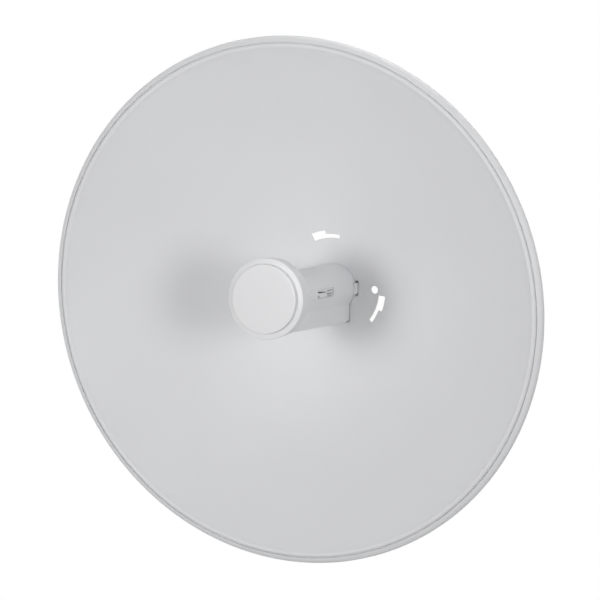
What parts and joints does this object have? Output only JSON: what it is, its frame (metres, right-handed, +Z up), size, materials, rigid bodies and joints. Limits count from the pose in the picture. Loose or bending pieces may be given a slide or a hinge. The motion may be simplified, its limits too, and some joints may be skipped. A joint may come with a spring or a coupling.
{
  "type": "parabolic dish antenna",
  "caption": "White parabolic dish antenna: beaded pressed reflector, radio feed housing with a round cap, rear hub, tilt bracket and pole clamp.",
  "frame": {"origin": "centre of the saddle's flat bearing face, where the part is clamped to its pole", "axes": "+Y points out of the saddle's bearing face towards the pole, the dish's mouth faces -Y, +Z is up, +X is to the right as the dish is seen from its front"},
  "size_m": [0.5236, 0.3371, 0.5236],
  "materials": {
    "dish_paint": "satin white powder coat",
    "housing_plastic": "fine satin moulded plastic, white",
    "cap_plastic": "smooth semi-gloss moulded plastic, white",
    "bracket_paint": "textured light grey powder coat",
    "zinc_fastener": "zinc plated, slightly dull",
    "gland_plastic": "black nylon"
  },
  "bodies": {
    "root": {"reflector": "dish_paint", "feed_housing": "housing_plastic", "feed_key_right": "housing_plastic", "feed_key_left": "housing_plastic", "latch_right": "housing_plastic", "latch_left": "housing_plastic", "feed_cap": "cap_plastic", "feed_cap_disc": "cap_plastic", "hub_plate": "bracket_paint", "hub_housing": "housing_plastic", "hub_screw_1": "zinc_fastener", "hub_screw_2": "zinc_fastener", "hub_screw_3": "zinc_fastener", "hub_screw_4": "zinc_fastener", "port_door": "housing_plastic", "gland_nut": "gland_plastic", "cable_gland": "gland_plastic", "tilt_block": "bracket_paint", "tilt_bracket": "bracket_paint", "pivot_bolt": "zinc_fastener", "pivot_washer": "zinc_fastener", "pivot_nut": "zinc_fastener", "lock_bolt": "zinc_fastener", "lock_washer": "zinc_fastener", "lock_nut": "zinc_fastener", "earth_screw": "zinc_fastener", "bracket_screw_upper": "zinc_fastener", "bracket_screw_lower": "zinc_fastener", "pole_saddle": "bracket_paint", "clamp_jaw": "bracket_paint", "clamp_bolt_right": "zinc_fastener", "clamp_bolt_left": "zinc_fastener", "clamp_washer_right": "zinc_fastener", "clamp_washer_left": "zinc_fastener", "clamp_nut_right": "zinc_fastener", "clamp_nut_left": "zinc_fastener"}
  },
  "joints": []
}
